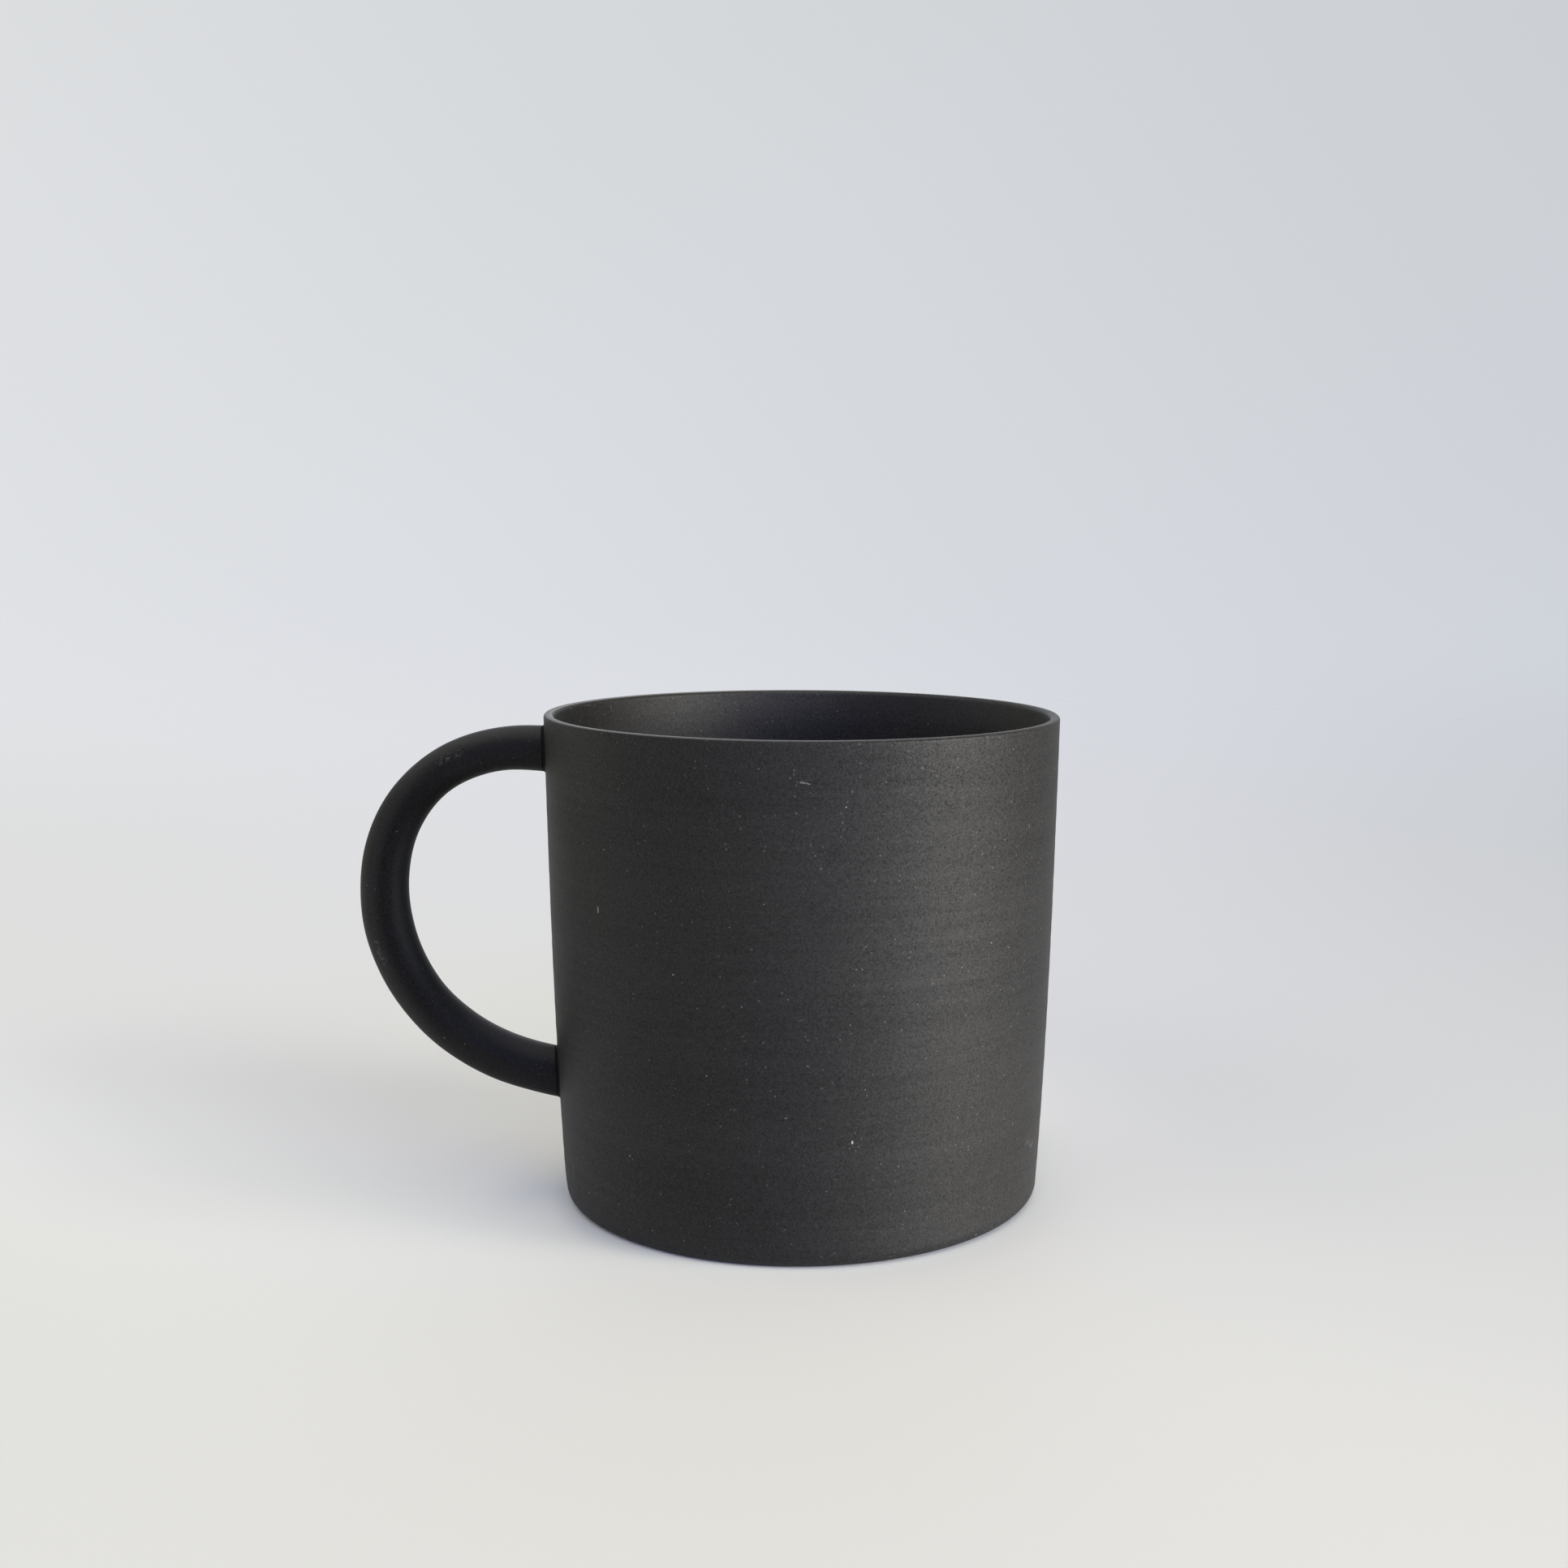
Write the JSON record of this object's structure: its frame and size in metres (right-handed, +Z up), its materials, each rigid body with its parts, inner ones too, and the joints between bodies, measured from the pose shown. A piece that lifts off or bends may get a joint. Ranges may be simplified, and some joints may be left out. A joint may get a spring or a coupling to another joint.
{
  "type": "mug",
  "caption": "Straight-sided ceramic mug with a thin rounded lip, a recessed foot and a round-section loop handle luted to one side.",
  "frame": {"origin": "centre of the foot, on the plane the mug stands on", "axes": "+Z up along the cup's axis, -X towards the handle"},
  "size_m": [0.1135, 0.084, 0.0803],
  "materials": {
    "cup_clay": "matte",
    "handle_clay": "matte",
    "slip": "matte"
  },
  "bodies": {
    "root": {"cup_body": "cup_clay", "handle": "handle_clay", "upper_joint_slip": "slip", "lower_joint_slip": "slip"}
  },
  "joints": []
}
